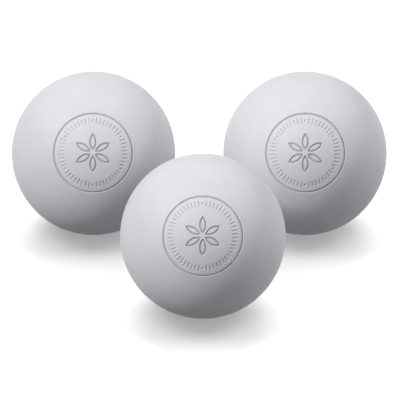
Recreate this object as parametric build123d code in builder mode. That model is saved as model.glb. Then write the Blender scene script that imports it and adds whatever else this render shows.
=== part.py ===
from build123d import *
import os
from math import sqrt

# A set of three lacrosse balls, each one solid moulding of white rubber.
# They stand on the floor as an equilateral triangle, one ball in front of a
# back pair, and each shows a round seal pressed into its skin.
# Frame: +Z up, the viewer on the -Y side, and the origin on the floor at the
# middle of the set's box.

# Ball and set, in millimetres and degrees
ball_diameter = 63.5
ball_gap = 18.6
front_ball_shift = 1.4
seal_tilt = 26.8

# Seal, measured square to its axis: a ring groove, a band of short bars with
# a dot between the groups, and a rosette of petals drawn as outlines
ring_radius = 15.2
ring_width = 0.6
ring_depth = 0.45
mark_circle_radius = 12.4
bar_length = 2.2
bar_width = 0.45
dot_diameter = 0.9
mark_depth = 0.35
group_count = 6
bars_per_group = 8
petal_inner_radius = 1.0
petal_outer_radius = 7.6
petal_width = 2.7
petal_line = 0.6
petal_depth = 0.45

# Sizes that follow from those above
ball_radius = ball_diameter / 2
ball_spacing = ball_diameter + ball_gap
back_pair_x = ball_spacing / 2
row_y = ball_spacing * sqrt(3) / 4
mark_step = 360 / (group_count * (bars_per_group + 1))
ball_centres = {
    "ball_front": (front_ball_shift, -row_y, ball_radius),
    "ball_left": (-back_pair_x, row_y, ball_radius),
    "ball_right": (back_pair_x, row_y, ball_radius),
}
seal_axis = Vector(0, -1, 0).rotate(Axis.X, -seal_tilt)


# Cutters for the seal, made on a ball at the origin with the seal's axis up.
# Each one ends on an inner sphere, so its mark is equally deep all over.

with BuildPart() as ring_cutter:
    with BuildSketch():
        Circle(ring_radius + ring_width / 2)
        Circle(ring_radius - ring_width / 2, mode=Mode.SUBTRACT)
    extrude(amount=ball_diameter)
    Sphere(ball_radius - ring_depth, mode=Mode.SUBTRACT)

with BuildPart() as band_cutter:
    with BuildSketch():
        for group in range(group_count):
            dot_angle = 90 + group * 360 / group_count
            with PolarLocations(mark_circle_radius, 1, start_angle=dot_angle):
                Circle(dot_diameter / 2)
            with PolarLocations(
                mark_circle_radius,
                bars_per_group,
                start_angle=dot_angle + mark_step,
                angular_range=bars_per_group * mark_step,
            ):
                SlotOverall(bar_length, bar_width)
    extrude(amount=ball_diameter)
    Sphere(ball_radius - mark_depth, mode=Mode.SUBTRACT)

with BuildSketch() as petal:
    petal_middle = (petal_inner_radius + petal_outer_radius) / 2
    root = (petal_inner_radius, 0)
    tip = (petal_outer_radius, 0)
    with BuildLine():
        ThreePointArc(root, (petal_middle, petal_width / 2), tip)
        ThreePointArc(tip, (petal_middle, -petal_width / 2), root)
    make_face()
    offset(amount=-petal_line, mode=Mode.SUBTRACT)

with BuildPart() as rosette_cutter:
    with BuildSketch():
        with PolarLocations(0, group_count, start_angle=90):
            add(petal.sketch)
    extrude(amount=ball_diameter)
    Sphere(ball_radius - petal_depth, mode=Mode.SUBTRACT)


# One moulded ball. The sphere lies on its side, so that its seam and poles are
# on the mould's parting line and stay clear of the seal.

with BuildPart() as moulded_ball:
    Sphere(ball_radius, rotation=(90, 0, 0))
    for cutter in (ring_cutter, band_cutter, rosette_cutter):
        add(cutter.part, mode=Mode.SUBTRACT)


# The three balls, each with its seal turned towards the viewer

os.makedirs("parts", exist_ok=True)
for name, centre in ball_centres.items():
    with BuildPart(Plane(origin=centre, x_dir=(1, 0, 0), z_dir=seal_axis)) as ball:
        add(moulded_ball.part)
    ball.part.label = name
    export_step(ball.part, f"parts/{name}.step")
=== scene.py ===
import math
from types import SimpleNamespace

import bpy
import numpy as np
from bpy.props import FloatProperty, FloatVectorProperty, IntProperty, PointerProperty
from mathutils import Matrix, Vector


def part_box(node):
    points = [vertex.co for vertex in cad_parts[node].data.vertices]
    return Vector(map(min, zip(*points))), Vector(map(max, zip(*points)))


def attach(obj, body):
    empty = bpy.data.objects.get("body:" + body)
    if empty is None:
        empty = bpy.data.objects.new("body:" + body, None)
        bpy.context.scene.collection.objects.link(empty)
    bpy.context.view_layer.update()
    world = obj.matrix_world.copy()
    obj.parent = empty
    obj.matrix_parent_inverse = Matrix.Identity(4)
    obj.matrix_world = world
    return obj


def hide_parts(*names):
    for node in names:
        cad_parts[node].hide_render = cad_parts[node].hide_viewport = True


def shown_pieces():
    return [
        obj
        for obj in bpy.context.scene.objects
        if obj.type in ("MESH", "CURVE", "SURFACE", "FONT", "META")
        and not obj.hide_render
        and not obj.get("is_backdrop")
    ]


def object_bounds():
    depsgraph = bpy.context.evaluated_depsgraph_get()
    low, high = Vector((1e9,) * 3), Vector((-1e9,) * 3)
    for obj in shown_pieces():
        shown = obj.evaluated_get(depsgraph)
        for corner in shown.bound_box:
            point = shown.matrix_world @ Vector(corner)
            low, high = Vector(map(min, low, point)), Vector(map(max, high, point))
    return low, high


bl_info = {
    "name": "Lacrosse Ball Set",
    "version": (1, 0, 0),
    "blender": (4, 5, 0),
    "location": "3D View > Sidebar > Lacrosse Balls",
    "description": "Moulded rubber lacrosse balls with a pressed seal, in a small white studio",
    "category": "Add Mesh",
}

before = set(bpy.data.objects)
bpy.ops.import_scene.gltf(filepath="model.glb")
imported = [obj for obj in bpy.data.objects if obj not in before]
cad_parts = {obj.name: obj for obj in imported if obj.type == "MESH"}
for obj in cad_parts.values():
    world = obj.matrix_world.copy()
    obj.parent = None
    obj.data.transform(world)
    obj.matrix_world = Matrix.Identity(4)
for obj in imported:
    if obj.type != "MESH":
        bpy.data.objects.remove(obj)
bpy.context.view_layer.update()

MM = 0.001
BALL_NODES = ("ball_front", "ball_left", "ball_right")

# The balls' grid starts with this many columns at each pole and doubles from there.
POLE_COLUMNS = 63
MOST_DOUBLINGS = 4

# The floor's radius in metres, and the rows and columns of its grid
FLOOR_REACH, FLOOR_ROWS, FLOOR_COLUMNS = 8, 4, 96

# The camera sees this many times as far as the set.
VIEW_DEPTH = 4

# A Mix node's sockets for colours
MIX_SHARE, MIX_FIRST, MIX_SECOND, MIX_RESULT = 0, 6, 7, 2

# Soft boxes round the set: azimuth (0 on the viewer's side, 90 on the right) and elevation in
# degrees, then their width and distance in metres. Those named for the floor light nothing else.
SOFT_BOXES = {
    "key": (300, 42, 0.4, 4),
    "side": (105, 5, 2.4, 4),
    "high": (110, 60, 2.4, 4),
    "floor_back": (180, 57, 3.4, 4),
    "floor_left": (270, 59, 2.8, 4),
    "floor_right": (90, 59, 2.8, 4),
}


def linear(hex_colour):
    """An sRGB hex colour, such as "#E1E3E7", as linear red, green and blue, by the sRGB standard."""
    srgb = np.array([int(hex_colour[i : i + 2], 16) for i in (1, 3, 5)]) / 255
    return tuple(np.where(srgb <= 0.04045, srgb / 12.92, ((srgb + 0.055) / 1.055) ** 2.4))


class SealSettings(bpy.types.PropertyGroup):
    """Sizes of the seal pressed into each ball, measured square to the seal's axis."""

    tilt: FloatProperty(
        name="Tilt",
        description="How far the seal's axis points above level, towards the viewer",
        default=math.radians(26.8),
        subtype="ANGLE",
    )
    ring_radius: FloatProperty(
        name="Ring Radius",
        description="Radius of the ring groove at the middle of its width",
        default=15.2 * MM,
        unit="LENGTH",
        precision=5,
    )
    ring_width: FloatProperty(
        name="Ring Width",
        description="Width of the ring groove between its walls",
        default=0.6 * MM,
        unit="LENGTH",
        precision=5,
    )
    ring_depth: FloatProperty(
        name="Ring Depth",
        description="Depth of the ring groove below the ball's skin",
        default=0.45 * MM,
        unit="LENGTH",
        precision=5,
    )
    mark_circle_radius: FloatProperty(
        name="Mark Circle Radius",
        description="Radius of the circle that the bars and dots are centred on",
        default=12.4 * MM,
        unit="LENGTH",
        precision=5,
    )
    bar_length: FloatProperty(
        name="Bar Length",
        description="Length of a bar from one round end to the other",
        default=2.2 * MM,
        unit="LENGTH",
        precision=5,
    )
    bar_width: FloatProperty(
        name="Bar Width",
        description="Width of a bar between its walls",
        default=0.45 * MM,
        unit="LENGTH",
        precision=5,
    )
    dot_diameter: FloatProperty(
        name="Dot Diameter",
        description="Diameter of the dot between two groups of bars",
        default=0.9 * MM,
        unit="LENGTH",
        precision=5,
    )
    mark_depth: FloatProperty(
        name="Mark Depth",
        description="Depth of the bars and dots below the ball's skin",
        default=0.35 * MM,
        unit="LENGTH",
        precision=5,
    )
    group_count: IntProperty(
        name="Groups",
        description="Groups of bars round the seal, and petals in its middle",
        default=6,
        min=3,
    )
    bars_per_group: IntProperty(
        name="Bars per Group",
        description="Bars between one dot and the next",
        default=8,
        min=1,
    )
    petal_inner_radius: FloatProperty(
        name="Petal Inner Radius",
        description="Distance from the seal's axis to a petal's root",
        default=1.0 * MM,
        unit="LENGTH",
        precision=5,
    )
    petal_outer_radius: FloatProperty(
        name="Petal Outer Radius",
        description="Distance from the seal's axis to a petal's tip",
        default=7.6 * MM,
        unit="LENGTH",
        precision=5,
    )
    petal_width: FloatProperty(
        name="Petal Width",
        description="Width of a petal at its middle, over its outline",
        default=2.7 * MM,
        unit="LENGTH",
        precision=5,
    )
    petal_line: FloatProperty(
        name="Petal Line",
        description="Width of the groove that outlines a petal",
        default=0.6 * MM,
        unit="LENGTH",
        precision=5,
    )
    petal_depth: FloatProperty(
        name="Petal Depth",
        description="Depth of the petals' outlines below the ball's skin",
        default=0.45 * MM,
        unit="LENGTH",
        precision=5,
    )
    wall_width: FloatProperty(
        name="Wall Width",
        description="Width over which a mark's rounded wall falls from the skin to its floor",
        default=0.25 * MM,
        unit="LENGTH",
        precision=5,
    )


class RubberSettings(bpy.types.PropertyGroup):
    """The balls' rubber: its colours, its skin and the line where the mould's halves met."""

    skin_colour: FloatVectorProperty(
        name="Skin",
        description="Colour of the clean white rubber",
        default=linear("#E1E3E7"),
        subtype="COLOR",
        min=0,
        max=1,
    )
    cloud_colour: FloatVectorProperty(
        name="Clouds",
        description="Colour of the faint clouds in the rubber, where the filler is less even",
        default=linear("#DEE0E4"),
        subtype="COLOR",
        min=0,
        max=1,
    )
    # The dust colour is partly real dust and partly painted shade: it darkens the pressed marks where shade
    # falls in them.
    dust_and_shade_colour: FloatVectorProperty(
        name="Dust",
        description="Colour of the dust that stays in the pressed marks",
        default=linear("#8E9095"),
        subtype="COLOR",
        min=0,
        max=1,
    )
    # The ring, mark and petal shares darken the marks with the dust colour: dust, and painted shade in the
    # recesses.
    ring_dust_and_shade: FloatProperty(
        name="Ring Dust",
        description="Share of the rubber that dust covers in the ring groove",
        default=0.5,
        min=0,
        max=1,
        subtype="FACTOR",
    )
    mark_dust_and_shade: FloatProperty(
        name="Mark Dust",
        description="Share of the rubber that dust covers in the bars and dots",
        default=0.15,
        min=0,
        max=1,
        subtype="FACTOR",
    )
    petal_dust_and_shade: FloatProperty(
        name="Petal Dust",
        description="Share of the rubber that dust covers in the petals' outlines",
        default=0.55,
        min=0,
        max=1,
        subtype="FACTOR",
    )
    roughness: FloatProperty(
        name="Roughness",
        description="Roughness of the moulded skin",
        default=0.6,
        min=0,
        max=1,
        subtype="FACTOR",
    )
    parting_height: FloatProperty(
        name="Parting Line Height",
        description="How far the trimmed parting line stands proud of the ball",
        default=0.06 * MM,
        unit="LENGTH",
        precision=5,
    )
    parting_width: FloatProperty(
        name="Parting Line Width",
        description="Width of the trimmed parting line",
        default=0.5 * MM,
        unit="LENGTH",
        precision=5,
    )


class StudioSettings(bpy.types.PropertyGroup):
    """Lamps, floor and camera. At level 1 a lamp renders a white surface that faces it as white."""

    key_level: FloatProperty(
        name="Key",
        description="Level of the small soft box at the upper left, in front",
        default=0.57,
        min=0,
    )
    side_level: FloatProperty(
        name="Side",
        description="Level of the low soft box on the right, a little behind the set",
        default=0.125,
        min=0,
    )
    high_level: FloatProperty(
        name="High",
        description="Level of the high soft box on the right, a little behind the set",
        default=0.27,
        min=0,
    )
    floor_back_level: FloatProperty(
        name="Floor Back",
        description="Level of the soft box behind the set that lights the floor alone",
        default=0.63,
        min=0,
    )
    floor_left_level: FloatProperty(
        name="Floor Left",
        description="Level of the soft box on the left that lights the floor alone",
        default=0.29,
        min=0,
    )
    floor_right_level: FloatProperty(
        name="Floor Right",
        description="Level of the soft box on the right that lights the floor alone",
        default=0.29,
        min=0,
    )
    room_level: FloatProperty(
        name="Room",
        description="Level of the light that comes from all round",
        default=0.355,
        min=0,
    )
    floor_glow: FloatProperty(
        name="Floor Glow",
        description="White that the floor adds to its lamp light for the viewer",
        default=0.23,
        min=0,
    )
    floor_throw: FloatProperty(
        name="Floor Throw",
        description="Level of the even light that the floor throws up at the balls",
        default=0.12,
        min=0,
    )
    view_elevation: FloatProperty(
        name="View Elevation",
        description="How far the camera looks down on the set",
        default=math.radians(26.8),
        subtype="ANGLE",
    )
    view_width: FloatProperty(
        name="View Width",
        description="Width of the picture at the middle of the set",
        default=154.6 * MM,
        unit="LENGTH",
        precision=5,
    )
    view_aim: FloatVectorProperty(
        name="View Aim",
        description="Point at the middle of the picture",
        default=(0.3 * MM, 0, 29.3 * MM),
        subtype="TRANSLATION",
        precision=5,
    )
    lens: FloatProperty(
        name="Lens",
        description="Focal length in millimetres, long enough that near and far balls look alike",
        default=1500,
        min=1,
    )


def add_node(tree, kind, sockets=None, **settings):
    """Adds a node with its settings.

    Each entry of sockets links an input to an output, or sets its value."""
    node = tree.nodes.new(kind)
    for name, value in settings.items():
        setattr(node, name, value)
    for name, value in (sockets or {}).items():
        if isinstance(value, bpy.types.NodeSocket):
            tree.links.new(value, node.inputs[name])
        else:
            node.inputs[name].default_value = value
    return node


def pressed(distance, wall_width):
    """How far a mark is pressed in at a signed distance from its outline, from 0 outside to 1 inside.

    The wall is a smooth step, 3t^2 - 2t^3, centred on the outline."""
    t = np.clip(0.5 - distance / wall_width, 0, 1)
    return t * t * (3 - 2 * t)


def ring_distance(reach, seal):
    """Distance outside the ring groove: the gap to its middle radius, less half its width."""
    return np.abs(reach - seal.ring_radius) - seal.ring_width / 2


def band_distance(reach, turn, seal):
    """Distance outside the nearest bar or dot of the band.

    The turn is split into equal steps, one mark to a step. In a step's own axes, a bar is a line along
    the radius with round ends, and the first mark of each group is a round dot."""
    marks_per_group = seal.bars_per_group + 1
    step = 2 * np.pi / (seal.group_count * marks_per_group)
    mark = np.round(turn / step)
    along = reach * np.cos(turn - mark * step) - seal.mark_circle_radius
    across = reach * np.sin(turn - mark * step)
    straight = (seal.bar_length - seal.bar_width) / 2
    bar = np.hypot(np.maximum(np.abs(along) - straight, 0), across) - seal.bar_width / 2
    dot = np.hypot(along, across) - seal.dot_diameter / 2
    return np.where(mark % marks_per_group == 0, dot, bar)


def petal_distance(reach, turn, seal):
    """Distance outside the outline of the nearest petal, which is the lens that two circles share.

    The circles pass through the petal's root and tip, and bulge half its width to either side. The
    outline is a line just inside the lens."""
    step = 2 * np.pi / seal.group_count
    angle = turn - np.round(turn / step) * step
    middle = (seal.petal_inner_radius + seal.petal_outer_radius) / 2
    half_length = (seal.petal_outer_radius - seal.petal_inner_radius) / 2
    bulge = seal.petal_width / 2
    circle = (half_length**2 + bulge**2) / (2 * bulge)
    along = reach * np.cos(angle) - middle
    across = np.abs(reach * np.sin(angle)) + circle - bulge
    lens = np.hypot(along, across) - circle
    return np.abs(lens + seal.petal_line / 2) - seal.petal_line / 2


def ball_rows(radius, seal, rubber):
    """Angles of the grid's rows, from the seal's pole to the far one, and the doublings of their columns.

    Rows are a tenth of a millimetre apart across the petals, the band and the parting line, half that
    across the ring, and up to a millimetre on the bare skin. Each stretch of rows also says how far apart
    its columns are. A row never has over twice its neighbour's columns, so its level of doubling is the
    highest of all the levels wanted, each less its distance in rows."""
    fine = 0.1 * MM
    ring_step = fine / 2
    margin_step = 3 * fine
    gap_step = 4 * fine
    skin_step = 10 * fine / radius
    band_columns = 0.8 * fine
    ring_columns = 2 * fine
    skin_columns = 8 * fine
    edge = seal.wall_width
    petal_end = seal.petal_outer_radius + edge
    band_start = seal.mark_circle_radius - seal.bar_length / 2 - edge
    band_end = seal.mark_circle_radius + seal.bar_length / 2 + edge
    ring_start = seal.ring_radius - seal.ring_width / 2 - edge
    ring_end = seal.ring_radius + seal.ring_width / 2 + edge
    # The parting line has fallen to nothing 1.5 widths from its middle.
    parting = 1.5 * rubber.parting_width / radius
    quarter = np.pi / 2

    def angles(start, end, step):
        """Equal steps from start up to end, which is left out, none longer than step."""
        return np.linspace(start, end, math.ceil((end - start) / step), endpoint=False)

    def reaches(start, end, step):
        """Angles of equal steps in distance from the seal's axis."""
        return np.arcsin(angles(start, end, step) / radius)

    ring_edge = math.asin(ring_end / radius)
    stretches = (
        (reaches(fine, petal_end, fine), fine),
        (reaches(petal_end, band_start, gap_step), skin_columns),
        (reaches(band_start, band_end, fine), band_columns),
        (reaches(band_end, ring_start, margin_step), skin_columns),
        (reaches(ring_start, ring_end, ring_step), ring_columns),
        (angles(ring_edge, quarter - parting, skin_step), skin_columns),
        (angles(quarter - parting, quarter + parting, fine / radius), skin_columns),
        (angles(quarter + parting, np.pi - fine / radius, skin_step), skin_columns),
    )
    angle = np.concatenate([rows for rows, width in stretches])
    width = np.concatenate([np.full(len(rows), width) for rows, width in stretches])
    wanted = 2 * np.pi * radius * np.sin(angle) / width / POLE_COLUMNS
    level = np.clip(np.ceil(np.log2(np.maximum(wanted, 1))), 0, MOST_DOUBLINGS)
    row = np.arange(len(angle))
    level = (level[None, :] - np.abs(row[:, None] - row[None, :])).max(axis=1)
    return angle, level.astype(int)


def stitched(inner, outer):
    """Faces between two rows of vertex numbers, the inner one nearer to the seal's pole or a disc's middle.

    Equal rows give quads. Where one row has twice the columns, each coarse cell gives three triangles."""
    if len(inner) == len(outer):
        return np.stack([inner, outer, np.roll(outer, -1), np.roll(inner, -1)], 1).tolist()
    if len(outer) > len(inner):
        near, far = inner, np.roll(inner, -1)
        first, middle, last = outer[0::2], outer[1::2], np.roll(outer[0::2], -1)
        faces = ((near, first, middle), (near, middle, far), (far, middle, last))
    else:
        near, far = outer, np.roll(outer, -1)
        first, middle, last = inner[0::2], inner[1::2], np.roll(inner[0::2], -1)
        faces = ((near, middle, first), (near, far, middle), (far, last, middle))
    return np.concatenate([np.stack(face, 1) for face in faces]).tolist()


def ball_surface(radius, seal, rubber):
    """A moulded ball about its own centre: a sphere of angle from the seal's axis and turn about it.

    The distance from the centre is the radius, less the depth of the marks, plus a low rounded ridge, a
    bell curve, on the parting line. Each point also keeps the share of it that dust and painted shade
    darken, how near it is to the parting line, and its angle and turn."""
    row_angle, level = ball_rows(radius, seal, rubber)
    columns = POLE_COLUMNS * 2**level
    angle = np.concatenate([[0], np.repeat(row_angle, columns), [np.pi]])
    turns = [np.arange(n) * 2 * np.pi / n for n in columns]
    turn = np.concatenate([[0], *turns, [0]])

    reach = radius * np.sin(angle)
    on_seal = angle < np.pi / 2
    ring = pressed(ring_distance(reach, seal), seal.wall_width) * on_seal
    band = pressed(band_distance(reach, turn, seal), seal.wall_width) * on_seal
    petals = pressed(petal_distance(reach, turn, seal), seal.wall_width) * on_seal
    depth = ring * seal.ring_depth + band * seal.mark_depth + petals * seal.petal_depth
    from_parting = (angle - np.pi / 2) * radius / rubber.parting_width
    parting = np.exp(-((2 * from_parting) ** 2))
    distance = radius - depth + parting * rubber.parting_height

    right = np.array([1, 0, 0])
    up = np.array([0, math.sin(seal.tilt), math.cos(seal.tilt)])
    out = np.array([0, -math.cos(seal.tilt), math.sin(seal.tilt)])
    round_axis = np.outer(np.sin(turn), -right) + np.outer(np.cos(turn), up)
    points = np.sin(angle)[:, None] * round_axis + np.outer(np.cos(angle), out)
    points *= distance[:, None]

    numbers = np.split(np.arange(1, len(angle) - 1), np.cumsum(columns)[:-1])
    first, last = numbers[0], numbers[-1]
    pole, far_pole = np.zeros_like(first), np.full_like(last, len(angle) - 1)
    faces = np.stack([pole, first, np.roll(first, -1)], 1).tolist()
    for inner, outer in zip(numbers, numbers[1:]):
        faces += stitched(inner, outer)
    faces += np.stack([last, far_pole, np.roll(last, -1)], 1).tolist()
    return SimpleNamespace(
        points=points,
        faces=faces,
        # Dust and painted shade in the marks, by how far each point is pressed in.
        dust_and_painted_shade=ring * rubber.ring_dust_and_shade + band * rubber.mark_dust_and_shade + petals * rubber.petal_dust_and_shade,
        parting=parting,
        angle=angle,
        turn=turn,
    )


def lay_out_skin(mesh, angle, turn):
    """Lays the ball's two halves out as two discs in a UV map, the half with the seal on the larger one.

    A point's distance from its disc's middle is its angle from its half's pole."""
    seal_middle, seal_reach = np.array([0.345, 0.345]), 0.335
    back_middle, back_reach = np.array([0.755, 0.755]), 0.235
    vertex = np.empty(len(mesh.loops), np.int32)
    mesh.loops.foreach_get("vertex_index", vertex)
    sizes = np.empty(len(mesh.polygons), np.int32)
    mesh.polygons.foreach_get("loop_total", sizes)
    starts = np.cumsum(sizes) - sizes
    face_angle = np.add.reduceat(angle[vertex], starts) / sizes
    on_seal = np.repeat(face_angle < np.pi / 2, sizes)[:, None]
    share = np.where(on_seal[:, 0], angle[vertex], np.pi - angle[vertex]) / (np.pi / 2)
    ray = np.stack([-np.sin(turn[vertex]), np.cos(turn[vertex])], 1) * share[:, None]
    seal_side = seal_middle + seal_reach * ray
    back_side = back_middle + back_reach * ray * np.array([-1, 1])
    layer = mesh.uv_layers.new(name="OFBake")
    layer.uv.foreach_set("vector", np.where(on_seal, seal_side, back_side).astype(np.float32).ravel())


def moulded_white_rubber(rubber):
    """Vulcanised white rubber, pressed in a blasted steel mould.

    It gives the eye a matte, slightly cool white that turns evenly from light to shade with no clear
    highlight. Close up it has faint clouds, a fine grain, and dust in the pressed marks, with painted
    shade there as well."""
    cloud_size = 9 * MM
    cloud_starts, cloud_full = 0.35, 0.65
    patch_size = 2.5 * MM
    # The dust and the painted shade in the marks vary in patches between these shares.
    least_dust_and_shade, most_dust_and_shade = 0.7, 1.3
    roughness_spread = 0.1
    parting_dullness = 0.2
    rubber_ior = 1.52
    # Blasting leaves a grain of about 0.1 mm, drawn coarser here so that it shows close up.
    grain_size = 0.3 * MM
    grain_height = 0.05 * MM
    material = bpy.data.materials.new("Moulded vulcanised white rubber")
    material.use_nodes = True
    tree = material.node_tree
    place = add_node(tree, "ShaderNodeTexCoord").outputs["Object"]
    # How far dust and painted shade darken each point of the marks.
    dust_and_painted_shade = add_node(tree, "ShaderNodeAttribute", attribute_name="dust_and_painted_shade").outputs["Fac"]
    parting = add_node(tree, "ShaderNodeAttribute", attribute_name="parting").outputs["Fac"]

    clouds = add_node(
        tree,
        "ShaderNodeTexNoise",
        {"Vector": place, "Scale": 1 / cloud_size, "Detail": 3.0},
    )
    cloud_share = add_node(
        tree,
        "ShaderNodeMapRange",
        {"Value": clouds.outputs["Fac"], "From Min": cloud_starts, "From Max": cloud_full},
    )
    skin = add_node(
        tree,
        "ShaderNodeMix",
        {
            MIX_SHARE: cloud_share.outputs["Result"],
            MIX_FIRST: (*rubber.skin_colour, 1),
            MIX_SECOND: (*rubber.cloud_colour, 1),
        },
        data_type="RGBA",
    )
    patches = add_node(
        tree,
        "ShaderNodeTexNoise",
        {"Vector": place, "Scale": 1 / patch_size, "Detail": 2.0},
    )
    dust_and_shade_share = add_node(
        tree,
        "ShaderNodeMapRange",
        {"Value": patches.outputs["Fac"], "To Min": least_dust_and_shade, "To Max": most_dust_and_shade},
    )
    patchy_dust_and_shade = add_node(
        tree,
        "ShaderNodeMath",
        {0: dust_and_painted_shade, 1: dust_and_shade_share.outputs["Result"]},
        operation="MULTIPLY",
    )
    # Mixes the dark dust colour into the marks, standing for dust and for painted shade in their recesses.
    colour = add_node(
        tree,
        "ShaderNodeMix",
        {
            MIX_SHARE: patchy_dust_and_shade.outputs["Value"],
            MIX_FIRST: skin.outputs[MIX_RESULT],
            MIX_SECOND: (*rubber.dust_and_shade_colour, 1),
        },
        data_type="RGBA",
    )

    skin_roughness = add_node(
        tree,
        "ShaderNodeMapRange",
        {
            "Value": patches.outputs["Fac"],
            "To Min": rubber.roughness - roughness_spread,
            "To Max": rubber.roughness + roughness_spread,
        },
    )
    # The trimmed parting line is duller than the moulded skin.
    roughness = add_node(
        tree,
        "ShaderNodeMath",
        {0: parting, 1: parting_dullness, 2: skin_roughness.outputs["Result"]},
        operation="MULTIPLY_ADD",
        use_clamp=True,
    )
    grain = add_node(
        tree,
        "ShaderNodeTexNoise",
        {"Vector": place, "Scale": 1 / grain_size, "Detail": 2.0},
    )
    bump = add_node(
        tree,
        "ShaderNodeBump",
        {"Height": grain.outputs["Fac"], "Distance": grain_height},
    )
    shader = tree.nodes["Principled BSDF"]
    shader.inputs["IOR"].default_value = rubber_ior
    tree.links.new(colour.outputs[MIX_RESULT], shader.inputs["Base Color"])
    tree.links.new(roughness.outputs["Value"], shader.inputs["Roughness"])
    tree.links.new(bump.outputs["Normal"], shader.inputs["Normal"])
    return material


def seen_by_viewer(tree):
    """A socket that is 1 for the viewer's own rays and for those in reflections and through glass."""
    path = add_node(tree, "ShaderNodeLightPath").outputs
    mirrored = add_node(
        tree,
        "ShaderNodeMath",
        {0: path["Is Glossy Ray"], 1: path["Is Transmission Ray"]},
        operation="MAXIMUM",
    )
    seen = add_node(
        tree,
        "ShaderNodeMath",
        {0: path["Is Camera Ray"], 1: mirrored.outputs["Value"]},
        operation="MAXIMUM",
    )
    return seen.outputs["Value"]


def white_studio_paint(studio):
    """Rolled matte white paint.

    It gives the eye a white ground with the balls' soft shadow, and throws an even, faint light up at
    the balls."""
    material = bpy.data.materials.new("Matte white studio paint")
    material.use_nodes = True
    tree = material.node_tree
    tree.nodes.remove(tree.nodes["Principled BSDF"])
    white = add_node(tree, "ShaderNodeBsdfDiffuse", {"Color": (1, 1, 1, 1)})
    glow = add_node(tree, "ShaderNodeEmission", {"Strength": studio.floor_glow})
    shown = add_node(
        tree, "ShaderNodeAddShader", {0: white.outputs["BSDF"], 1: glow.outputs["Emission"]}
    )
    thrown = add_node(tree, "ShaderNodeEmission", {"Strength": studio.floor_throw})
    paint = add_node(
        tree,
        "ShaderNodeMixShader",
        {0: seen_by_viewer(tree), 1: thrown.outputs["Emission"], 2: shown.outputs["Shader"]},
    )
    tree.links.new(paint.outputs["Shader"], tree.nodes["Material Output"].inputs["Surface"])
    return material


def floor_surface(reach, rows, columns):
    """A flat disc at floor level.

    Its rows are equal steps in distance from the middle, and its columns equal turns."""
    distance = np.repeat(np.arange(1, rows + 1) * reach / rows, columns)
    turn = np.tile(np.arange(columns) * 2 * np.pi / columns, rows)
    points = np.stack([distance * np.cos(turn), distance * np.sin(turn), 0 * turn], 1)
    numbers = np.arange(rows * columns).reshape(rows, columns)
    faces = [numbers[0].tolist()]
    for inner, outer in zip(numbers, numbers[1:]):
        faces += stitched(inner, outer)
    return points, faces


def shown_object(name, points, faces, material):
    """Puts points and faces into a new smooth mesh in the scene, with its place in the mesh."""
    mesh = bpy.data.meshes.new(name)
    mesh.from_pydata(points, [], faces)
    mesh.materials.append(material)
    mesh.shade_smooth()
    piece = bpy.data.objects.new(name, mesh)
    bpy.context.scene.collection.objects.link(piece)
    return piece


def way_to(azimuth, elevation):
    """Unit vector from the set towards a lamp or the camera, by angles in radians."""
    level = math.cos(elevation)
    return Vector((math.sin(azimuth) * level, -math.cos(azimuth) * level, math.sin(elevation)))


def aimed(name, data, way, middle, distance):
    """A lamp or camera at a distance from a point, turned to look at it."""
    thing = bpy.data.objects.new(name, data)
    bpy.context.scene.collection.objects.link(thing)
    thing.location = middle + way * distance
    thing.rotation_euler = (-way).to_track_quat("-Z", "Y").to_euler()
    return thing


class MESH_OT_moulded_balls_add(bpy.types.Operator):
    """Add the moulded rubber balls, each in the place of its solid"""

    bl_idname = "mesh.moulded_balls_add"
    bl_label = "Add Moulded Balls"

    def execute(self, context):
        seal = context.scene.ball_seal
        rubber = context.scene.ball_rubber
        material = moulded_white_rubber(rubber)
        low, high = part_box(BALL_NODES[0])
        ball = ball_surface((high.x - low.x) / 2, seal, rubber)
        for node in BALL_NODES:
            low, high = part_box(node)
            middle = np.array((low + high) / 2)
            piece = shown_object(f"{node}_rubber", ball.points + middle, ball.faces, material)
            for name, values in (("dust_and_painted_shade", ball.dust_and_painted_shade), ("parting", ball.parting)):
                attribute = piece.data.attributes.new(name, "FLOAT", "POINT")
                attribute.data.foreach_set("value", values.astype(np.float32))
            lay_out_skin(piece.data, ball.angle, ball.turn)
            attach(piece, node)
            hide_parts(node)
        return {"FINISHED"}


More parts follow.
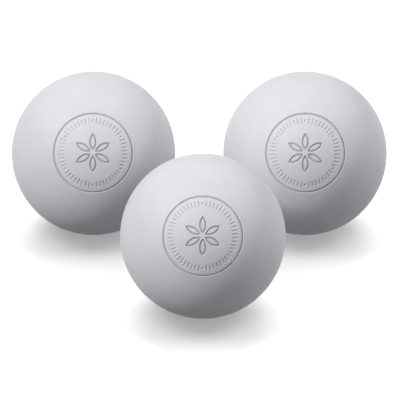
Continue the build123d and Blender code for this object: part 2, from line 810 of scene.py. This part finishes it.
class SCENE_OT_ball_studio_add(bpy.types.Operator):
    """Add the studio: a white floor, soft boxes, the light of the room, and the camera"""

    bl_idname = "scene.ball_studio_add"
    bl_label = "Add Studio"

    def execute(self, context):
        studio = context.scene.ball_studio
        lit_balls = bpy.data.collections.new("lit_balls")
        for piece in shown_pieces():
            lit_balls.objects.link(piece)
        disc = floor_surface(FLOOR_REACH, FLOOR_ROWS, FLOOR_COLUMNS)
        floor = shown_object("studio_floor", *disc, white_studio_paint(studio))
        floor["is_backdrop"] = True
        lit_floor = bpy.data.collections.new("lit_floor")
        lit_floor.objects.link(floor)

        middle = sum(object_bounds(), Vector()) / 2
        for name, (azimuth, elevation, width, distance) in SOFT_BOXES.items():
            light = bpy.data.lights.new(f"{name}_soft_box", "AREA")
            light.shape = "DISK"
            light.size = width
            reach = distance**2 + (width / 2) ** 2
            light.energy = getattr(studio, f"{name}_level") * math.pi**2 * reach
            way = way_to(math.radians(azimuth), math.radians(elevation))
            lamp = aimed(light.name, light, way, middle, distance)
            lamp.visible_camera = False
            on_floor = name.startswith("floor")
            lamp.light_linking.receiver_collection = lit_floor if on_floor else lit_balls

        world = bpy.data.worlds.new("white_room")
        world.use_nodes = True
        tree = world.node_tree
        strength = add_node(
            tree,
            "ShaderNodeMapRange",
            {"Value": seen_by_viewer(tree), "To Min": studio.room_level, "To Max": 1.0},
        )
        room = tree.nodes["Background"]
        room.inputs["Color"].default_value = (1, 1, 1, 1)
        tree.links.new(strength.outputs["Result"], room.inputs["Strength"])
        context.scene.world = world

        lens = bpy.data.cameras.new("viewer")
        lens.lens = studio.lens
        distance = studio.view_width * lens.lens / lens.sensor_width
        lens.clip_end = VIEW_DEPTH * distance
        way = way_to(0, studio.view_elevation)
        context.scene.camera = aimed("viewer", lens, way, Vector(studio.view_aim), distance)
        context.scene.view_settings.view_transform = "Standard"
        return {"FINISHED"}


class VIEW3D_PT_lacrosse_balls(bpy.types.Panel):
    """Sizes, colours and light of the ball set"""

    bl_label = "Lacrosse Balls"
    bl_space_type = "VIEW_3D"
    bl_region_type = "UI"
    bl_category = "Lacrosse Balls"

    def draw(self, context):
        scene = context.scene
        for heading, settings, operator in (
            ("Seal", scene.ball_seal, None),
            ("Rubber", scene.ball_rubber, MESH_OT_moulded_balls_add),
            ("Studio", scene.ball_studio, SCENE_OT_ball_studio_add),
        ):
            column = self.layout.column(heading=heading)
            for name in settings.__annotations__:
                column.prop(settings, name)
            if operator:
                column.operator(operator.bl_idname)


CLASSES = (
    SealSettings,
    RubberSettings,
    StudioSettings,
    MESH_OT_moulded_balls_add,
    SCENE_OT_ball_studio_add,
    VIEW3D_PT_lacrosse_balls,
)


def register():
    for cls in CLASSES:
        bpy.utils.register_class(cls)
    bpy.types.Scene.ball_seal = PointerProperty(type=SealSettings)
    bpy.types.Scene.ball_rubber = PointerProperty(type=RubberSettings)
    bpy.types.Scene.ball_studio = PointerProperty(type=StudioSettings)


def unregister():
    del bpy.types.Scene.ball_studio
    del bpy.types.Scene.ball_rubber
    del bpy.types.Scene.ball_seal
    for cls in reversed(CLASSES):
        bpy.utils.unregister_class(cls)


def main():
    """Registers the tools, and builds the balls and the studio."""
    register()
    bpy.ops.mesh.moulded_balls_add()
    bpy.ops.scene.ball_studio_add()


if __name__ == "__main__":
    main()
